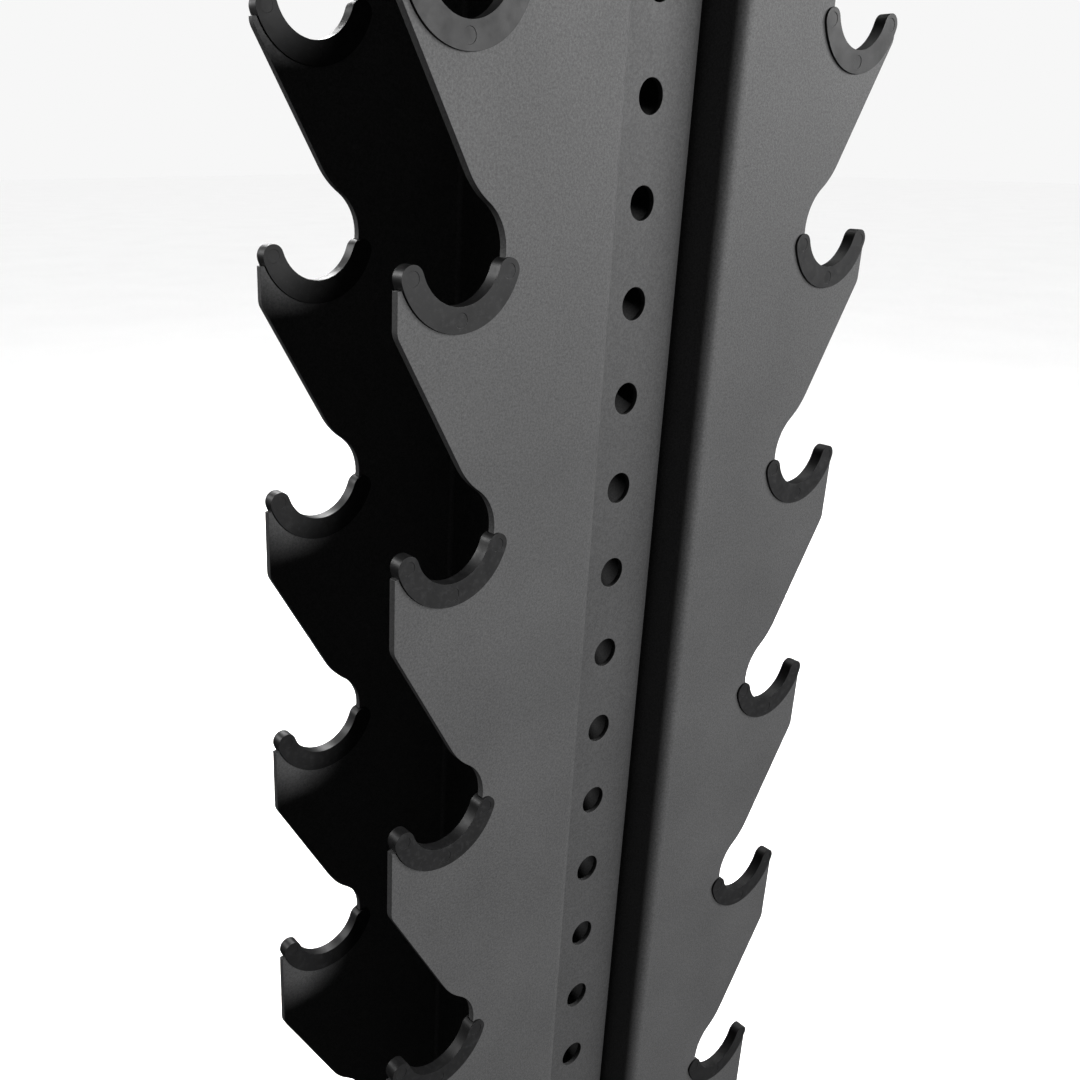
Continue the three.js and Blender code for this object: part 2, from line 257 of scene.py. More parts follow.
    @classmethod
    def rod(
        cls,
        radius: float,
        length: float,
        centre: Sequence[float],
        axis: str,
        sides: int = DRILL_SIDES,
    ) -> Piece:
        """Makes a plain rod as a tool or a start.

        Args:
            radius: The rod's radius.
            length: The rod's length.
            centre: The middle of the rod.
            axis: The direction of the rod, x, y or z.
            sides: The number of sides.

        Returns:
            The new object.
        """
        turn = {"x": (0, QUARTER, 0), "y": (QUARTER, 0, 0), "z": (0, 0, 0)}[axis]
        cls.clear()
        bpy.ops.mesh.primitive_cylinder_add(
            vertices=sides, radius=radius, depth=length, location=centre, rotation=turn
        )
        made = bpy.context.object
        cls.settle(made)
        return made

    @classmethod
    def copy(
        cls, source: Piece, name: str, shift: Sequence[float], half_turn: bool = False
    ) -> Piece:
        """Copies a piece with its own mesh, turned half round the upright's axis if asked.

        Args:
            source: The object to copy.
            name: The copy's name.
            shift: How far the copy moves, after its turn.
            half_turn: Whether it is first turned by 180 degrees about Z.

        Returns:
            The copy, with its place in its mesh.
        """
        made = source.copy()
        made.data = source.data.copy()
        made.name = made.data.name = name
        bpy.context.collection.objects.link(made)
        cls.put(made, shift, (0, 0, math.pi if half_turn else 0))
        return made


class Pen:
    """Draws a closed outline by pulling and spinning one point through a plane."""

    def __init__(self, name: str, plane: Plane, u: float, v: float) -> None:
        """Puts the pen down.

        Args:
            name: The name of the object that is drawn.
            plane: The plane of the outline.
            u: The first coordinate of the start.
            v: The second coordinate of the start.
        """
        self.plane = plane
        self.at = (u, v)
        Bench.clear()
        bpy.ops.mesh.primitive_plane_add(size=MM, location=plane.point(u, v))
        self.piece = bpy.context.object
        self.piece.name = name
        Bench.settle(self.piece)
        Bench.edit(self.piece)
        Bench.select_mesh()
        bpy.ops.mesh.merge(type="CENTER")

    def line(self, u: float, v: float) -> "Pen":
        """Pulls a straight line to a point, and returns the pen."""
        move = self.plane.point(u, v) - self.plane.point(*self.at)
        if move.length > 0.001 * MM:
            bpy.ops.mesh.extrude_region_move(TRANSFORM_OT_translate={"value": tuple(move)})
        self.at = (u, v)
        return self

    def arc(
        self, u: float, v: float, radius: float, start: float, end: float, steps: int
    ) -> "Pen":
        """Draws a line to the start of an arc, then the arc.

        Args:
            u: The first coordinate of the arc's centre.
            v: The second coordinate of the arc's centre.
            radius: The arc's radius.
            start: The angle at which it starts, from the first axis, in radians.
            end: The angle at which it ends, larger for an anticlockwise arc.
            steps: The number of straight steps.

        Returns:
            The pen.
        """
        self.line(u + radius * math.cos(start), v + radius * math.sin(start))
        bpy.ops.mesh.spin(
            steps=steps,
            angle=end - start,
            center=self.plane.point(u, v),
            axis=-self.plane.normal,
        )
        self.at = (u + radius * math.cos(end), v + radius * math.sin(end))
        return self

    def close(self) -> Piece:
        """Closes the outline, fills it and returns the flat object."""
        Bench.select_mesh()
        bpy.ops.mesh.remove_doubles(threshold=0.002 * MM)
        bpy.ops.mesh.edge_face_add()
        Bench.leave()
        return self.piece

    def prism(self, low: float, high: float) -> Piece:
        """Closes the outline and makes it a solid.

        Args:
            low: Where the solid starts along Y for a front outline, or Z for a plan.
            high: Where it ends.

        Returns:
            The solid.
        """
        self.close()
        along = Vector((0.0, 1.0, 0.0)) if self.plane is Plane.FRONT else Vector((0.0, 0.0, 1.0))
        Bench.edit(self.piece, "FACE")
        Bench.select_mesh()
        bpy.ops.transform.translate(value=along * low)
        pull = tuple(along * (high - low))
        bpy.ops.mesh.extrude_region_move(TRANSFORM_OT_translate={"value": pull})
        Bench.face_out()
        return self.piece


def rounded_outline(name: str, x: float, y: float, radius: float, steps: int) -> Pen:
    """Draws an open outline with four round corners in plan.

    Args:
        name: The name of the object that is drawn.
        x: How far the corners' centres are from the middle along X.
        y: How far they are along Y.
        radius: The radius of the corners.
        steps: The number of steps round each.

    Returns:
        The pen, which closes it.
    """
    pen = Pen(name, Plane.PLAN, x + radius, -y)
    for turn, (corner_x, corner_y) in enumerate(((x, y), (-x, y), (-x, -y), (x, -y))):
        pen.arc(corner_x, corner_y, radius, turn * QUARTER, (turn + 1) * QUARTER, steps)
    return pen


def rounded_bar(
    name: str, width: float, depth: float, radius: float, low: float, high: float
) -> Piece:
    """Makes an upright bar with rounded corners, centred on the Z axis.

    Args:
        name: The bar's name.
        width: Its size along X.
        depth: Its size along Y.
        radius: The radius of its corners.
        low: The height of its bottom.
        high: The height of its top.

    Returns:
        The bar.
    """
    x, y = width / 2 - radius, depth / 2 - radius
    return rounded_outline(name, x, y, radius, CORNER_STEPS).prism(low, high)


def chamfered_hexagon(
    across_flats: float, low: float, high: float, axis: str, chamfer: float
) -> Piece:
    """Makes a hexagonal bar on an axis with its outer corners chamfered.

    Args:
        across_flats: Its size across flats.
        low: Where it starts.
        high: Where it ends.
        axis: The axis that it lies on, x or z.
        chamfer: The width of the chamfer.

    Returns:
        The bar.
    """
    radius, middle = across_flats / math.sqrt(3), (low + high) / 2
    centre = (middle, 0, 0) if axis == "x" else (0, 0, middle)
    bar = Bench.rod(radius, high - low, centre, axis, 6)
    cone = Bench.rod(radius * CROWN, high - low + 0.2 * MM, centre, axis, ROUND_SIDES)
    Bench.soften(cone, chamfer, 1, 60)
    Bench.combine(bar, cone, "INTERSECT")
    return bar


# ---- Shader tools ---------------------------------------------------------------------


class Signal:
    """A number socket that takes part in ordinary arithmetic."""

    def __init__(self, graph: "Graph", socket: Socket) -> None:
        """Wraps a socket of a graph."""
        self.graph = graph
        self.socket = socket

    def _math(self, operation: str, first: object, second: object) -> "Signal":
        """Adds a Math node on two values, and returns its result."""
        node = self.graph.node("ShaderNodeMath", {"operation": operation}, {0: first, 1: second})
        return Signal(self.graph, node.outputs[0])

    def __add__(self, other: object) -> "Signal":
        """This plus another."""
        return self._math("ADD", self, other)

    def __radd__(self, other: object) -> "Signal":
        """Another plus this."""
        return self._math("ADD", other, self)

    def __sub__(self, other: object) -> "Signal":
        """This minus another."""
        return self._math("SUBTRACT", self, other)

    def __rsub__(self, other: object) -> "Signal":
        """Another minus this."""
        return self._math("SUBTRACT", other, self)

    def __mul__(self, other: object) -> "Signal":
        """This times another."""
        return self._math("MULTIPLY", self, other)

    def __rmul__(self, other: object) -> "Signal":
        """Another times this."""
        return self._math("MULTIPLY", other, self)


class Graph:
    """The node tree of one material, with its output and main shader in place."""

    def __init__(self, name: str) -> None:
        """Starts a material of the given name."""
        self.material = bpy.data.materials.new(name)
        self.material.use_nodes = True
        self.tree = self.material.node_tree
        self.tree.nodes.clear()
        self.shader = self.node("ShaderNodeBsdfPrincipled", {}, {})
        self.node("ShaderNodeOutputMaterial", {}, {"Surface": self.shader.outputs[0]})
        self.place = self.node("ShaderNodeTexCoord", {}, {}).outputs["Object"]

    def node(
        self, kind: str, settings: Mapping[str, object], inputs: Mapping[object, object]
    ) -> bpy.types.Node:
        """Adds a node.

        Args:
            kind: The node's type.
            settings: Its settings, with a ramp's stops under the key stops.
            inputs: The values or links of its sockets, by name or index.

        Returns:
            The node.
        """
        made = self.tree.nodes.new(kind)
        for name, value in settings.items():
            if name == "stops":
                self._set_stops(made, value)
            else:
                setattr(made, name, value)
        for key, value in inputs.items():
            self._feed(made.inputs[key], value)
        return made

    def _feed(self, socket: Socket, value: object) -> None:
        """Gives a socket its link, or its constant value."""
        if isinstance(value, Signal):
            value = value.socket
        if isinstance(value, Socket):
            self.tree.links.new(value, socket)
        else:
            socket.default_value = value

    @staticmethod
    def _set_stops(ramp: bpy.types.Node, stops: Sequence[tuple[float, Sequence[float]]]) -> None:
        """Gives a colour ramp its stops."""
        elements = ramp.color_ramp.elements
        for index, (position, colour) in enumerate(stops):
            stop = elements[index] if index < len(elements) else elements.new(position)
            stop.position = position
            stop.color = (*colour, 1.0)

    def noise(self, grain: float, detail: float = 3.0, roughness: float = 0.5) -> Signal:
        """A noise pattern whose features are about the given size in metres."""
        node = self.node(
            "ShaderNodeTexNoise",
            {},
            {"Vector": self.place, "Scale": 1.0 / grain, "Detail": detail, "Roughness": roughness},
        )
        return Signal(self, node.outputs[0])

    def range(self, value: Signal, low: float, high: float) -> Signal:
        """Stretches the part of a signal between two levels to 0 to 1, and clamps it."""
        node = self.node(
            "ShaderNodeMapRange",
            {"clamp": True},
            {"Value": value, "From Min": low, "From Max": high, "To Min": 0.0, "To Max": 1.0},
        )
        return Signal(self, node.outputs[0])

    def blend(self, factor: Signal, first: Sequence[float], second: Sequence[float]) -> Socket:
        """Mixes two colours by a factor, and returns the mixed colour."""
        node = self.node(
            "ShaderNodeMix",
            {"data_type": "RGBA"},
            {0: factor, 6: (*first, 1.0), 7: (*second, 1.0)},
        )
        return node.outputs[2]

    def bump(self, height: Signal, strength: float, distance: float) -> Socket:
        """A bumped normal from a height signal, and returns its socket."""
        node = self.node(
            "ShaderNodeBump", {}, {"Height": height, "Strength": strength, "Distance": distance}
        )
        return node.outputs[0]

    def finish(self, **sockets: object) -> Material:
        """Sets the main shader's sockets, with underscores for spaces."""
        for name, value in sockets.items():
            self._feed(self.shader.inputs[name.replace("_", " ")], value)
        return self.material


@dataclass(frozen=True)
class PowderCoat:
    """Matt dark grey powder coat with a fine orange-peel texture."""

    name: str = "powder_coat"
    colour: Colour = (0.116, 0.116, 0.117)
    dark: Colour = (0.06, 0.06, 0.061)
    roughness: float = 0.56
    peel: float = 1.5 * MM
    grain: float = 1.15 * MM

    def material(self) -> Material:
        """Builds the material."""
        graph = Graph(self.name)
        cloud = graph.range(graph.noise(60 * MM, 4.0), 0.3, 0.7)
        speck = graph.range(graph.noise(self.grain, 4.0, 0.8), 0.36, 0.64)
        peel = graph.noise(self.peel, 2.0)
        tone = 0.15 * cloud + 0.85 * speck
        height = 0.75 * peel + 0.25 * speck
        return graph.finish(
            Base_Color=graph.blend(tone, self.dark, self.colour),
            Roughness=self.roughness + 0.1 * cloud - 0.06 * speck,
            Normal=graph.bump(height, 0.5, 0.2 * MM),
            Specular_IOR_Level=0.32,
        )


@dataclass(frozen=True)
class MouldedPlastic:
    """Black injection-moulded plastic with a low sheen and faint flow marks."""

    name: str
    colour: Colour = (0.017, 0.017, 0.0175)
    worn: Colour = (0.042, 0.042, 0.043)
    roughness: float = 0.42
    sheen: float = 0.26
    grain: float = 0.25 * MM
    bump: float = 0.12

    def material(self) -> Material:
        """Builds the material."""
        graph = Graph(self.name)
        flow = graph.range(graph.noise(9 * MM, 3.0, 0.6), 0.35, 0.7)
        grain = graph.noise(self.grain, 2.0)
        scuff = graph.range(graph.noise(3.5 * MM, 6.0, 0.75), 0.5, 0.72)
        return graph.finish(
            Base_Color=graph.blend(scuff * 0.6, self.colour, self.worn),
            Roughness=self.roughness + 0.12 * flow + 0.1 * scuff,
            Normal=graph.bump(grain * 0.6 + flow * 0.4, self.bump, 0.08 * MM),
            Specular_IOR_Level=self.sheen,
        )


@dataclass(frozen=True)
class BlackenedSteel:
    """Oil-blackened steel of the bolts and nuts, lighter where a spanner has rubbed it."""

    name: str = "blackened_steel"
    colour: Colour = (0.022, 0.022, 0.024)
    rubbed: Colour = (0.09, 0.088, 0.085)

    def material(self) -> Material:
        """Builds the material."""
        graph = Graph(self.name)
        patch = graph.range(graph.noise(4 * MM, 5.0, 0.65), 0.5, 0.72)
        grain = graph.noise(0.3 * MM, 3.0)
        return graph.finish(
            Base_Color=graph.blend(patch, self.colour, self.rubbed),
            Roughness=0.36 + 0.16 * grain - 0.08 * patch,
            Metallic=0.85,
            Normal=graph.bump(grain, 0.15, 0.05 * MM),
        )


@dataclass(frozen=True)
class Rubber:
    """Matt black rubber with a dusty bloom."""

    name: str = "foot_rubber"
    colour: Colour = (0.012, 0.012, 0.012)
    bloom: Colour = (0.035, 0.034, 0.033)

    def material(self) -> Material:
        """Builds the material."""
        graph = Graph(self.name)
        dust = graph.range(graph.noise(14 * MM, 5.0, 0.6), 0.45, 0.75)
        grain = graph.noise(0.4 * MM, 3.0)
        return graph.finish(
            Base_Color=graph.blend(dust * 0.7, self.colour, self.bloom),
            Roughness=0.78 + 0.14 * dust,
            Normal=graph.bump(grain, 0.3, 0.08 * MM),
            Specular_IOR_Level=0.3,
        )


class Finishes:
    """The materials of the rack, each built once."""

    def __init__(self) -> None:
        """Builds every material."""
        self.coat = PowderCoat().material()
        # A darker copy of the same powder coat for the upright: painted shade standing in for the
        # tube's recess between the channel plates, where less light reaches.
        self.upright_painted_shade_coat = PowderCoat(
            "upright_painted_shade_coat", colour=(0.096, 0.096, 0.097), dark=(0.05, 0.05, 0.051)
        ).material()
        self.saddle = MouldedPlastic("saddle_plastic").material()
        self.cap = MouldedPlastic(
            "cap_plastic", roughness=0.78, sheen=0.15, grain=0.6 * MM, bump=0.3
        ).material()
        self.steel = BlackenedSteel().material()
        self.rubber = Rubber().material()


class Slot(Enum):
    """The record's material slots."""

    COAT = "powder_coat"
    SADDLE = "saddle"
    CAP = "end_cap"
    FASTENER = "fastener"
    RUBBER = "rubber"


@dataclass
class SubAssembly:
    """A group of pieces that share one way of being dressed and reported."""

    finishes: Finishes

    def hand_in(
        self,
        piece: Piece,
        name: str,
        material: Material,
        slot: Slot,
        *nodes: str,
    ) -> Piece:
        """slot: The record's slot that the finish belongs to; not used.
            *nodes: The CAD nodes that it stands for.

        Returns:
            The piece.
        """
        piece.name = piece.data.name = name
        piece.data.materials.clear()
        piece.data.materials.append(material)
        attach(piece, BODY)
        if nodes:
            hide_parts(*nodes)
        LOG.info("%s: %d faces", name, len(piece.data.polygons))
        return piece


# ---- Sub-assemblies -------------------------------------------------------------------


@dataclass
class Upright(SubAssembly):
    """The square tube with its rows of holes."""

    wall: float = 3 * MM
    corner: float = 10 * MM
    hole_radius: float = 8.5 * MM
    hole_pitch: float = 50 * MM
    first_hole: float = 144 * MM
    hole_rows: int = 23
    bolt_rows: tuple[int, ...] = (3, 9, 15, 20)

    def row_height(self, row: int) -> float:
        """The height of a row of holes."""
        return self.first_hole + row * self.hole_pitch

    def drill(self, piece: Piece, rows: Sequence[int], axis: str, x: float, length: float) -> None:
        """Drills a piece at rows of holes.

        Args:
            piece: The piece to drill.
            rows: The rows.
            axis: The direction of the holes, x or y.
            x: Where the middle of each drill is along X.
            length: The length of each drill.
        """
        drills = [
            Bench.rod(self.hole_radius, length, (x, 0, self.row_height(row)), axis) for row in rows
        ]
        Bench.combine(piece, Bench.merge(drills), "DIFFERENCE")

    def build(self) -> None:
        """Makes the upright."""
        low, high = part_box("upright")
        width = high.x - low.x
        tube = rounded_bar("upright_tube", width, width, self.corner, low.z, high.z)
        bore_width = width - 2 * self.wall
        bore = rounded_bar(
            "bore", bore_width, bore_width, self.corner - self.wall, low.z - MM, high.z + MM
        )
        Bench.combine(tube, bore, "DIFFERENCE")
        plain_rows = [row for row in range(self.hole_rows) if row not in self.bolt_rows]
        self.drill(tube, plain_rows, "y", 0, 2 * width)
        for axis in "xy":
            self.drill(tube, self.bolt_rows, axis, 0, 2 * width)
        Bench.trim(tube, 0.45 * MM)
        # The tube wears the darker copy of the coat, which is painted shade for its recess between
        # the channels.
        self.hand_in(tube, "upright_tube", self.finishes.upright_painted_shade_coat, Slot.COAT, "upright")


@dataclass
class Channel(SubAssembly):
    """A folded saw-tooth channel with a front and a rear fin."""

    plate: float = 4 * MM
    bend: float = 7 * MM
    notch: float = 25.1 * MM
    hook_drop: float = 13.2 * MM
    slant: float = math.radians(60)
    slant_offset: float = 19.2 * MM
    corner: float = 9 * MM
    shoulder: float = 40 * MM
    top_fillet: float = 12 * MM
    foot_rise: float = 44 * MM
    saddle_drop: float = 33.9 * MM
    drill_length: float = 40 * MM
    overhang: float = 2 * MM
    outline_margin: float = 5 * MM
    notch_steps: int = 40
    top_notch_steps: int = 36
    outer_bend_steps: int = 12

    def tiers(self) -> list[float]:
        """The heights of the handle lines, from the lowest."""
        heights = []
        while f"saddle_{len(heights) + 1}_right_front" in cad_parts:
            low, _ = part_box(f"saddle_{len(heights) + 1}_right_front")
            heights.append(low.z + self.saddle_drop)
        return heights

    def _tooth(self, pen: Pen, tip_x: float, corner_z: float) -> None:
        """Draws a tooth's rounded lower corner."""
        rise, start = self.corner * math.tan((QUARTER - self.slant) / 2), self.slant - QUARTER
        pen.arc(tip_x - self.corner, corner_z + rise, self.corner, start, 0.0, CORNER_STEPS)

    def _notch(self, pen: Pen, centre_x: float, tier_z: float) -> None:
        """Draws a notch and the rounded shoulder above it."""
        reach = self.notch + self.shoulder
        depth = self.slant_offset + self.shoulder
        slide = math.sqrt(reach**2 - depth**2)
        sine, cosine = math.sin(self.slant), math.cos(self.slant)
        off_x, off_z = -sine * depth + cosine * slide, cosine * depth + sine * slide
        angle = math.atan2(off_z, off_x)
        pen.arc(centre_x, tier_z, self.notch, self._hook_angle(), angle, self.notch_steps)
        pen.arc(
            centre_x + off_x,
            tier_z + off_z,
            self.shoulder,
            angle - math.pi,
            self.slant - QUARTER,
            CORNER_STEPS,
        )

    def _hook_angle(self) -> float:
        """The angle at which a notch starts, at the top of its hook."""
        return 2 * math.pi - math.asin(self.hook_drop / self.notch)

    def _outline(self, low: Vector, high: Vector, centre_x: float) -> Piece:
        """Draws the fin's outline as a solid as deep as the channel, with room to spare."""
        tip_x = high.x
        tiers = self.tiers()
        pen = Pen("fin_outline", Plane.FRONT, low.x, high.z)
        pen.line(low.x, low.z)
        level = self.slant_offset + (tip_x - centre_x) * math.sin(self.slant)
        reach = level / math.cos(self.slant)
        corner_z = tiers[0] - self.foot_rise
        pen.line(tip_x - (corner_z - low.z) / math.tan(self.slant), low.z)
        for tier_z in tiers[:-1]:
            self._tooth(pen, tip_x, corner_z)
            pen.line(tip_x, tier_z - self.hook_drop)
            self._notch(pen, centre_x, tier_z)
            corner_z = tier_z + reach
        self._tooth(pen, tip_x, corner_z)
        pen.line(tip_x, tiers[-1] - self.hook_drop)
        pen.arc(
            centre_x, tiers[-1], self.notch, self._hook_angle(), math.pi, self.top_notch_steps
        )
        fillet = self.top_fillet
        wall_x = centre_x - self.notch
        pen.arc(wall_x - fillet, high.z - fillet, fillet, 0.0, QUARTER, CORNER_STEPS)
        return pen.prism(low.y - self.outline_margin, high.y + self.outline_margin)

    def _fold(self, low: Vector, high: Vector) -> Piece:
        """Makes the folded plate, before its teeth are cut."""
        inner = self.bend - self.plate
        bend_x = low.x + self.bend
        tip_x = high.x + self.overhang
        front, rear = low.y + self.bend, high.y - self.bend
        turns, steps = (QUARTER, 2 * QUARTER, 3 * QUARTER), self.outer_bend_steps
        pen = Pen("channel", Plane.PLAN, tip_x, low.y)
        pen.line(tip_x, low.y + self.plate)
        pen.arc(bend_x, front, inner, turns[2], turns[1], CORNER_STEPS)
        pen.arc(bend_x, rear, inner, turns[1], turns[0], CORNER_STEPS)
        pen.line(tip_x, high.y - self.plate)
        pen.line(tip_x, high.y)
        pen.arc(bend_x, rear, self.bend, turns[0], turns[1], steps)
        pen.arc(bend_x, front, self.bend, turns[1], turns[2], steps)
        return pen.prism(low.z - self.overhang, high.z + self.overhang)

    def build(self, upright: Upright) -> None:
        """Makes the right-hand channel and its turned copy.

        Args:
            upright: The upright, which knows where the clamp bolts pass.
        """
        low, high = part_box("channel_right")
        seat_low, seat_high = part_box("saddle_1_right_front")
        centre_x = (seat_low.x + seat_high.x) / 2
        channel = self._fold(low, high)
        Bench.combine(channel, self._outline(low, high, centre_x), "INTERSECT")
        upright.drill(channel, upright.bolt_rows, "x", low.x, self.drill_length)
        Bench.trim(channel, 0.35 * MM)
        twin = Bench.copy(channel, "channel_left_plate", (0, 0, 0), half_turn=True)
        self.hand_in(
            channel, "channel_right_plate", self.finishes.coat, Slot.COAT, "channel_right"
        )
        self.hand_in(twin, "channel_left_plate", self.finishes.coat, Slot.COAT, "channel_left")


@dataclass
class Saddles(SubAssembly):
    """The clip-on moulded saddles, one in each notch of each fin."""

    inner: float = 22.1 * MM
    outer: float = 33.9 * MM
    tip_angle: float = math.radians(18)
    slot_width: float = 4.2 * MM
    slot_radius: float = 24.8 * MM
    slot_top: float = -12.9 * MM
    pin_radius: float = 3.4 * MM
    pin_depth: float = 0.25 * MM
    arc_steps: int = 44
    tip_steps: int = 14

    def _body(self, width: float) -> Piece:
        """Makes the saddle's arc with its two round tips, round the Y axis."""
        middle = (self.inner + self.outer) / 2
        tip = (self.outer - self.inner) / 2
        right, left = 2 * math.pi - self.tip_angle, math.pi + self.tip_angle
        pen = Pen("saddle", Plane.FRONT, self.outer * math.cos(left), self.outer * math.sin(left))
        pen.arc(0, 0, self.outer, left, right, self.arc_steps)
        self._tip(pen, middle, right, tip, right)
        pen.arc(0, 0, self.inner, right, left, self.arc_steps)
        self._tip(pen, middle, left, tip, left - math.pi)
        return pen.prism(-width / 2, width / 2)

    def _tip(self, pen: Pen, middle: float, angle: float, radius: float, start: float) -> None:
        """Draws half a circle round a point of the arc's middle line."""
        u, v = middle * math.cos(angle), middle * math.sin(angle)
        pen.arc(u, v, radius, start, start + math.pi, self.tip_steps)

    def _slot(self) -> Piece:
        """Makes the tool that cuts the slot for the fin."""
        reach = self.outer + 10 * MM
        end = 2 * math.pi + math.asin(self.slot_top / self.slot_radius)
        pen = Pen("slot", Plane.FRONT, -reach, 0)
        pen.line(-reach, -reach)
        pen.line(reach, -reach)
        pen.line(reach, self.slot_top)
        pen.arc(0, 0, self.slot_radius, end, math.pi, self.arc_steps)
        return pen.prism(-self.slot_width / 2, self.slot_width / 2)

    def _pins(self, width: float) -> Piece:
        """Makes the shallow round marks that the mould's pins leave on both flanges."""
        middle = (self.inner + self.outer) / 2
        right, left = -self.tip_angle, math.pi + self.tip_angle
        marks = []
        for angle in (left, 1.5 * math.pi, right):
            for side in (-1, 1):
                centre = (middle * math.cos(angle), side * width / 2, middle * math.sin(angle))
                marks.append(Bench.rod(self.pin_radius, 2 * self.pin_depth, centre, "y", 32))
        return Bench.merge(marks)

    def build(self) -> None:
        """Makes one saddle and puts a copy of it in every notch."""
        low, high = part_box("saddle_1_right_front")
        width = high.y - low.y
        saddle = self._body(width)
        Bench.combine(saddle, self._slot(), "DIFFERENCE")
        Bench.combine(saddle, self._pins(width), "DIFFERENCE")
        Bench.trim(saddle, 0.42 * MM)
        names = [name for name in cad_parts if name.startswith("saddle_")]
        for name in sorted(names):
            low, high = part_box(name)
            centre = (low + high) / 2
            place = (centre.x, centre.y, low.z + self.outer)
            copy = Bench.copy(saddle, name + "_moulding", place, half_turn=centre.x < 0)
            self.hand_in(copy, name + "_moulding", self.finishes.saddle, Slot.SADDLE, name)
        Bench.discard(saddle)


@dataclass
class ClampBolts(SubAssembly):
    """The flanged bolts and nuts that clamp the channels to the upright."""

    shank_radius: float = 8 * MM
    flange_radius: float = 16 * MM
    flange: float = 3 * MM
    across_flats: float = 24 * MM
    bore: float = 8.5 * MM
    chamfer: float = 1.6 * MM
    lap: float = 0.5 * MM
    cone_share: float = 0.86
    crown_share: float = 0.36
    groove_count: int = 6
    groove_pitch: float = 1.9 * MM
    groove_width: float = 0.9 * MM
    groove_depth: float = 0.6 * MM

    def _flange(self, low: float, high: float, wide: float) -> Piece:
        """Makes the flange as a low cone, widest at the given end."""
        middle = (low + high) / 2
        disc = Bench.rod(self.flange_radius, high - low, (middle, 0, 0), "x", ROUND_SIDES)
        Bench.faces(disc, lambda centre, normal: abs(centre.x - wide) > MM and abs(normal.x) > 0.9)
        shrink = (1, self.cone_share, self.cone_share)
        bpy.ops.transform.resize(value=shrink, center_override=(0, 0, 0))
        Bench.leave()
        return disc

    def _bolt(self, head_low: float, end: float) -> Piece:
        """Makes a bolt along X whose seat is at X = 0.

        Args:
            head_low: Where the head starts, below zero.
            end: Where the shank ends.

        Returns:
            The bolt.
        """
        bolt = chamfered_hexagon(
            self.across_flats, head_low, -self.flange + self.lap, "x", self.chamfer
        )
        Bench.combine(bolt, self._flange(-self.flange, 0.0, 0.0), "UNION")
        shank = Bench.rod(self.shank_radius, end + MM, ((end - MM) / 2, 0, 0), "x")
        Bench.combine(bolt, shank, "UNION")
        dish = Bench.rod(self.across_flats * self.crown_share, MM, (head_low, 0, 0), "x")
        Bench.combine(bolt, dish, "DIFFERENCE")
        for ring in range(self.groove_count):
            place = (end - 2 * MM - ring * self.groove_pitch, 0, 0)
            groove = Bench.rod(self.shank_radius + MM, self.groove_width, place, "x")
            core = Bench.rod(self.shank_radius - self.groove_depth, 3 * MM, place, "x")
            Bench.combine(groove, core, "DIFFERENCE")
            Bench.combine(bolt, groove, "DIFFERENCE")
        Bench.trim(bolt, 0.25 * MM)
        return bolt

    def _nut(self, height: float) -> Piece:
        """Makes a flanged nut along X whose seat is at X = 0."""
        nut = chamfered_hexagon(
            self.across_flats, self.flange - self.lap, height, "x", self.chamfer
        )
        Bench.combine(nut, self._flange(0.0, self.flange, 0.0), "UNION")
        Bench.combine(nut, Bench.rod(self.bore, 3 * height, (0, 0, 0), "x"), "DIFFERENCE")
        Bench.trim(nut, 0.25 * MM)
        return nut

    def build(self, upright: Upright) -> None:
        """Makes a bolt and a nut for each clamped row.

        Args:
            upright: The upright, which knows the rows.
        """
        low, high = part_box("clamp_bolt_1")
        nut_low, nut_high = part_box("clamp_nut_1")
        seat = -nut_low.x
        bolt = self._bolt(low.x - seat, high.x - seat)
        nut = self._nut(nut_high.x - nut_low.x)
        for index, row in enumerate(upright.bolt_rows, start=1):
            height = upright.row_height(row)
            for kind, tool, x in (("bolt", bolt, seat), ("nut", nut, nut_low.x)):
                node = f"clamp_{kind}_{index}"
                made = Bench.copy(tool, node + "_body", (x, 0, height))
                self.hand_in(made, made.name, self.finishes.steel, Slot.FASTENER, node)
        Bench.discard(bolt, nut)


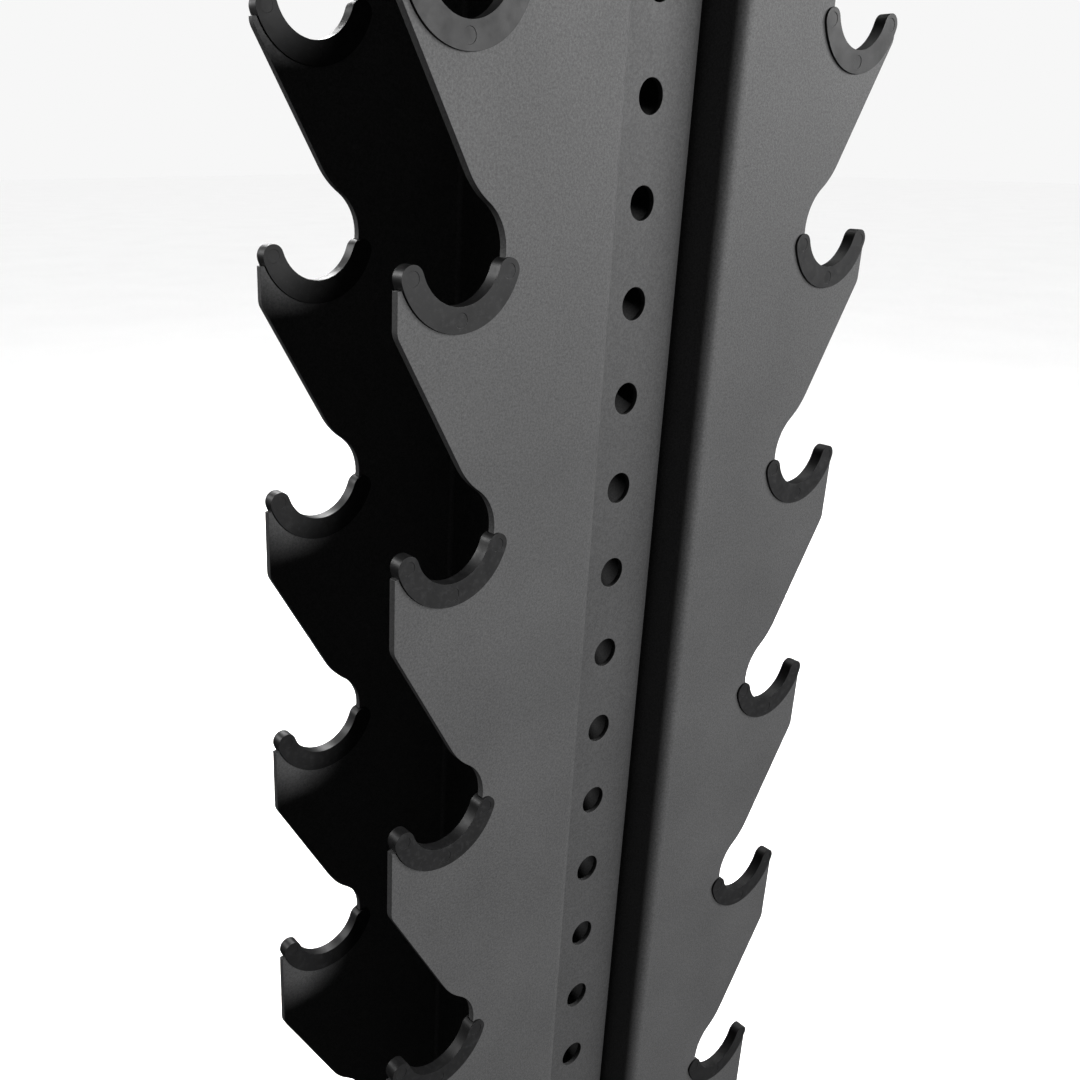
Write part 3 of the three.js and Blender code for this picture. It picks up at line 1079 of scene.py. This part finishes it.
@dataclass
class Caps(SubAssembly):
    """The plastic plugs in the ends of the tubes."""

    wall: float = 3.3 * MM
    lip: float = 4 * MM
    rim: float = 1.2 * MM
    slope: float = 5 * MM
    dish: float = 0.7 * MM

    def _plug(self, width: float, depth: float, radius: float, shank: float) -> Piece:
        """Makes a plug along Z with a dished lip above Z = 0.

        Args:
            width: The lip's size along X.
            depth: Its size along Y.
            radius: The radius of its corners.
            shank: The length of the part inside the tube.

        Returns:
            The plug.
        """
        plug = rounded_bar("plug", width, depth, radius, 0.0, self.lip)
        Bench.faces(plug, lambda centre, normal: normal.z > 0.9)
        bpy.ops.mesh.inset(thickness=self.rim)
        bpy.ops.mesh.inset(thickness=self.slope)
        bpy.ops.transform.translate(value=(0, 0, -self.dish))
        Bench.leave()
        x, y = width - 2 * self.wall, depth - 2 * self.wall
        stem = rounded_bar("stem", x, y, radius - self.wall, -shank, 0.5 * MM)
        x, y = width - 4 * self.wall, depth - 4 * self.wall
        hollow = rounded_bar("hollow", x, y, MM, -shank - MM, -2 * MM)
        Bench.combine(stem, hollow, "DIFFERENCE")
        Bench.combine(plug, stem, "UNION")
        Bench.clean(plug)
        Bench.soften(plug, 0.5 * MM, 3, 30)
        return plug

    def build(self) -> None:
        """Makes the cap of the upright and those of the runners."""
        low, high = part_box("upright_cap")
        width = high.x - low.x
        cap = self._plug(width, width, 10 * MM, high.z - low.z - self.lip)
        Bench.put(cap, (0, 0, high.z - self.lip))
        self.hand_in(cap, "upright_cap_moulding", self.finishes.cap, Slot.CAP, "upright_cap")
        low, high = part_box("runner_cap_right_front")
        width, depth = high.x - low.x, high.z - low.z
        plug = self._plug(width, depth, 6 * MM, high.y - low.y - self.lip)
        for side in ("left", "right"):
            for end, turn in (("front", QUARTER), ("rear", -QUARTER)):
                name = f"runner_cap_{side}_{end}"
                low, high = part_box(name)
                made = Bench.copy(plug, name + "_moulding", (0, 0, 0))
                seat_y = low.y + self.lip if end == "front" else high.y - self.lip
                place = ((low.x + high.x) / 2, seat_y, (low.z + high.z) / 2)
                Bench.put(made, place, (turn, 0, 0))
                self.hand_in(made, name + "_moulding", self.finishes.cap, Slot.CAP, name)
        Bench.discard(plug)


@dataclass
class Base(SubAssembly):
    """The floor base: runners, cross beam, base plate, its bolts, welds and feet."""

    wall: float = 3 * MM
    corner: float = 6 * MM
    bead: float = 2.2 * MM
    bolt_flats: float = 18 * MM
    bolt_head: float = 8 * MM
    bolt_shank: float = 6 * MM
    bolt_chamfer: float = 1.2 * MM
    bolt_numbers: tuple[int, ...] = (1, 2, 3, 4)
    dish_share: float = 0.34
    ripple: float = 1.0 * MM
    ripple_size: float = 2.5 * MM

    def _tube(self, name: str, across: float, tall: float, length: float) -> Piece:
        """Makes a hollow tube standing on the XY plane, to be laid down."""
        tube = rounded_bar(name, across, tall, self.corner, -length / 2, length / 2)
        x, y, end = across - 2 * self.wall, tall - 2 * self.wall, length / 2 + MM
        bore = rounded_bar("bore", x, y, self.corner - self.wall, -end, end)
        Bench.combine(tube, bore, "DIFFERENCE")
        return tube

    def _lay(self, tube: Piece, node: str, turn: Sequence[float]) -> Piece:
        """Turns a tube and puts it where its CAD node is."""
        low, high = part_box(node)
        Bench.put(tube, (low + high) / 2, turn)
        Bench.trim(tube, 0.4 * MM)
        return self.hand_in(tube, node + "_tube", self.finishes.coat, Slot.COAT, node)

    def _tubes(self) -> None:
        """Makes the cross beam and the two runners."""
        low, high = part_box("cross_beam")
        beam = self._tube("beam", high.z - low.z, high.y - low.y, high.x - low.x)
        self._lay(beam, "cross_beam", (0, QUARTER, 0))
        for node in ("runner_left", "runner_right"):
            low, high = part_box(node)
            runner = self._tube("runner", high.x - low.x, high.z - low.z, high.y - low.y)
            self._lay(runner, node, (QUARTER, 0, 0))

    def _plate(self) -> None:
        """Makes the base plate."""
        low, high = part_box("base_plate")
        plate = rounded_bar("plate", high.x - low.x, high.y - low.y, 12 * MM, low.z, high.z)
        for index in self.bolt_numbers:
            name = f"base_bolt_{index}"
            bolt_low, bolt_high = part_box(name)
            middle = (bolt_low + bolt_high) / 2
            place = (middle.x, middle.y, high.z)
            drill = Bench.rod(self.bolt_shank + 0.5 * MM, 60 * MM, place, "z")
            Bench.combine(plate, drill, "DIFFERENCE")
        Bench.trim(plate, 0.7 * MM)
        self.hand_in(plate, "base_plate_body", self.finishes.coat, Slot.COAT, "base_plate")

    def _bolts(self) -> None:
        """Makes the bolts of the base plate."""
        low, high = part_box("base_bolt_1")
        head = chamfered_hexagon(self.bolt_flats, 0.0, self.bolt_head, "z", self.bolt_chamfer)
        length = high.z - low.z - self.bolt_head
        shank = Bench.rod(self.bolt_shank, length + MM, (0, 0, (MM - length) / 2), "z")
        Bench.combine(head, shank, "UNION")
        dish = Bench.rod(self.bolt_flats * self.dish_share, MM, (0, 0, self.bolt_head), "z")
        Bench.combine(head, dish, "DIFFERENCE")
        Bench.trim(head, 0.25 * MM)
        for index in self.bolt_numbers:
            node = f"base_bolt_{index}"
            low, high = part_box(node)
            middle = (low + high) / 2
            place = (middle.x, middle.y, high.z - self.bolt_head)
            made = Bench.copy(head, node + "_body", place)
            self.hand_in(made, node + "_body", self.finishes.steel, Slot.FASTENER, node)
        Bench.discard(head)

    def _weld(self, name: str, ring: Piece) -> None:
        """Makes a weld bead along the outline of a flat face.

        Args:
            name: The bead's name.
            ring: A flat object whose edge the bead follows.
        """
        Bench.edit(ring, "FACE")
        Bench.select_mesh()
        bpy.ops.mesh.delete(type="ONLY_FACE")
        Bench.select_mesh()
        bpy.ops.mesh.select_mode(type="EDGE")
        bpy.ops.mesh.subdivide(number_cuts=6)
        Bench.leave()
        bpy.ops.object.convert(target="CURVE")
        bead = bpy.context.object
        bead.data.bevel_depth = self.bead
        bead.data.bevel_resolution = 3
        bpy.ops.object.convert(target="MESH")
        bead = bpy.context.object
        clouds = bpy.data.textures.new(name, "CLOUDS")
        clouds.noise_scale = self.ripple_size
        Bench.apply_modifier(
            bead, "DISPLACE", texture=clouds, strength=self.ripple, mid_level=0.5
        )
        bpy.data.textures.remove(clouds)
        Bench.smooth(bead, 60)
        self.hand_in(bead, name, self.finishes.coat, Slot.COAT)

    def _welds(self) -> None:
        """Makes the beads round the foot of the upright and at the ends of the cross beam."""
        low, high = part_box("upright")
        x, radius = high.x - 9.7 * MM, 10 * MM
        ring = rounded_outline("ring", x, x, radius, BEAD_CORNER_STEPS).close()
        Bench.put(ring, (0, 0, low.z))
        self._weld("weld_upright", ring)
        low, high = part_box("cross_beam")
        half_y, half_z = (high.y - low.y) / 2 - 0.3 * MM, (high.z - low.z) / 2 - 0.3 * MM
        for side, end_x in (("left", low.x), ("right", high.x)):
            y, z = half_y - self.corner, half_z - self.corner
            ring = rounded_outline("ring", y, z, self.corner, BEAD_CORNER_STEPS).close()
            Bench.put(ring, (end_x, 0, (low.z + high.z) / 2), (QUARTER, 0, QUARTER))
            self._weld(f"weld_beam_{side}", ring)

    def _feet(self) -> None:
        """Makes the rubber feet, each with a groove round its rim."""
        low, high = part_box("foot_left_front")
        radius, stem = (high.x - low.x) / 2, 6 * MM
        tall, top = 14 * MM, high.z - low.z
        pen = Pen("foot", Plane.FRONT, 0, 0)
        pen.line(radius - 3 * MM, 0)
        pen.arc(radius - 3 * MM, 2 * MM, 2 * MM, -QUARTER, 0, 6)
        for inset, share in ((0.7, 0.45), (1.5, 0.5), (0.6, 0.56)):  # the groove
            pen.line(radius - inset * MM, tall * share)
        for x, z in ((radius, tall), (stem, tall), (stem, top), (0, top)):
            pen.line(x, z)
        Bench.select_mesh()
        bpy.ops.mesh.spin(steps=ROUND_SIDES, angle=2 * math.pi, center=(0, 0, 0), axis=(0, 0, 1))
        Bench.select_mesh()
        bpy.ops.mesh.remove_doubles(threshold=0.005 * MM)
        bpy.ops.mesh.normals_make_consistent(inside=False)
        Bench.leave()
        foot = pen.piece
        Bench.soften(foot, 0.3 * MM, 2, 40)
        for side in ("left", "right"):
            for end in ("front", "rear"):
                node = f"foot_{side}_{end}"
                low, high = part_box(node)
                middle = (low + high) / 2
                made = Bench.copy(foot, node + "_pad", (middle.x, middle.y, low.z))
                self.hand_in(made, node + "_pad", self.finishes.rubber, Slot.RUBBER, node)
        Bench.discard(foot)

    def build(self) -> None:
        """Makes the whole base."""
        self._tubes()
        self._plate()
        self._bolts()
        self._welds()
        self._feet()


# ---- Studio ---------------------------------------------------------------------------


@dataclass(frozen=True)
class SoftBox:
    """A rectangular light that faces the rack, with its power in watts."""

    name: str
    place: Place
    width: float
    height: float
    power: float

    def add(self, target: Vector) -> None:
        """Hangs the light and turns it to a target."""
        Bench.clear()
        bpy.ops.object.light_add(type="AREA", location=self.place)
        light = bpy.context.object
        light.name = self.name
        light.data.shape = "RECTANGLE"
        light.data.size = self.width
        light.data.size_y = self.height
        light.data.energy = self.power
        aim = target - Vector(self.place)
        light.rotation_euler = aim.to_track_quat("-Z", "Y").to_euler()


@dataclass
class Studio:
    """The pale floor, the soft lights and the camera."""

    floor_size: float = 60.0
    floor_tones: tuple[float, float] = (0.9, 0.93)
    floor_sun: float = 3.25
    sun_angle: float = math.radians(80)
    backdrop: float = 0.93
    aim_height: float = 0.9
    soft_boxes: tuple[SoftBox, ...] = (
        SoftBox("key", (0.45, -3.0, 1.15), 0.8, 0.6, 64.0),
        SoftBox("side", (1.75, -1.75, 1.6), 1.6, 0.5, 43.0),
        SoftBox("rim", (-1.65, 2.0, 1.95), 0.5, 0.7, 48.0),
        SoftBox("back", (0.9, 2.3, 2.3), 1.2, 1.2, 70.0),
        SoftBox("flank", (2.7, 0.15, 1.3), 0.8, 1.4, 24.0),
    )
    fill_light: float = 0.012
    camera_place: Place = (-0.432, -0.4129, 1.0237)
    camera_turn: float = math.radians(34.98)
    camera_tilt: float = math.radians(19.37)
    lens: float = 35.49
    shift: tuple[float, float] = (0.1615, -0.0233)

    def _floor(self) -> Piece:
        """Makes the floor."""
        Bench.clear()
        bpy.ops.mesh.primitive_plane_add(size=self.floor_size, location=(0, 0, 0))
        floor = bpy.context.object
        floor.name = "studio_floor"
        graph = Graph("studio_floor")
        tone = graph.range(graph.noise(0.5, 2.0), 0.2, 0.8)
        dull, bright = ((level, level, level) for level in self.floor_tones)
        material = graph.finish(Base_Color=graph.blend(tone, dull, bright), Roughness=0.9)
        floor.data.materials.append(material)
        floor.visible_diffuse = False
        floor.visible_glossy = False
        return floor

    def _floor_light(self, floor: Piece) -> None:
        """Adds a very soft light from above that serves the floor only."""
        Bench.clear()
        bpy.ops.object.light_add(type="SUN", location=(0, 0, 4))
        light = bpy.context.object
        light.name = "floor_light"
        light.data.energy = self.floor_sun
        light.data.angle = self.sun_angle
        lit = bpy.data.collections.new("floor_only")
        lit.objects.link(floor)
        light.light_linking.receiver_collection = lit

    def _world(self) -> None:
        """Sets a white backdrop that only dimly lights the rack."""
        world = bpy.data.worlds.new("studio")
        bpy.context.scene.world = world
        world.use_nodes = True
        nodes, links = world.node_tree.nodes, world.node_tree.links
        nodes.clear()
        seen, dim = nodes.new("ShaderNodeBackground"), nodes.new("ShaderNodeBackground")
        seen.inputs[0].default_value = (self.backdrop, self.backdrop, self.backdrop, 1)
        seen.inputs[1].default_value = 1.0
        dim.inputs[0].default_value = (1, 1, 1, 1)
        dim.inputs[1].default_value = self.fill_light
        path, mix = nodes.new("ShaderNodeLightPath"), nodes.new("ShaderNodeMixShader")
        output = nodes.new("ShaderNodeOutputWorld")
        links.new(path.outputs["Is Camera Ray"], mix.inputs[0])
        links.new(dim.outputs[0], mix.inputs[1])
        links.new(seen.outputs[0], mix.inputs[2])
        links.new(mix.outputs[0], output.inputs[0])

    def _camera(self) -> None:
        """Places the camera."""
        data = bpy.data.cameras.new("camera")
        camera = bpy.data.objects.new("camera", data)
        bpy.context.collection.objects.link(camera)
        camera.location = self.camera_place
        camera.rotation_euler = Euler((QUARTER - self.camera_tilt, 0.0, -self.camera_turn))
        data.sensor_width = 36.0
        data.lens = self.lens
        data.shift_x, data.shift_y = self.shift
        data.clip_start, data.clip_end = 0.01, 100.0
        bpy.context.scene.camera = camera

    def build(self) -> None:
        """Makes the studio."""
        bpy.context.scene.view_settings.view_transform = "Standard"
        self._camera()
        self._world()
        for soft_box in self.soft_boxes:
            soft_box.add(Vector((0, 0, self.aim_height)))
        self._floor_light(self._floor())


def main() -> None:
    """Builds the rack and the studio."""
    logging.basicConfig(level=logging.INFO, format="%(message)s")
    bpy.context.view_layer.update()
    finishes = Finishes()
    upright = Upright(finishes)
    upright.build()
    Channel(finishes).build(upright)
    Saddles(finishes).build()
    ClampBolts(finishes).build(upright)
    Caps(finishes).build()
    Base(finishes).build()
    Studio().build()
    bpy.context.view_layer.update()


if __name__ == "__main__":
    main()
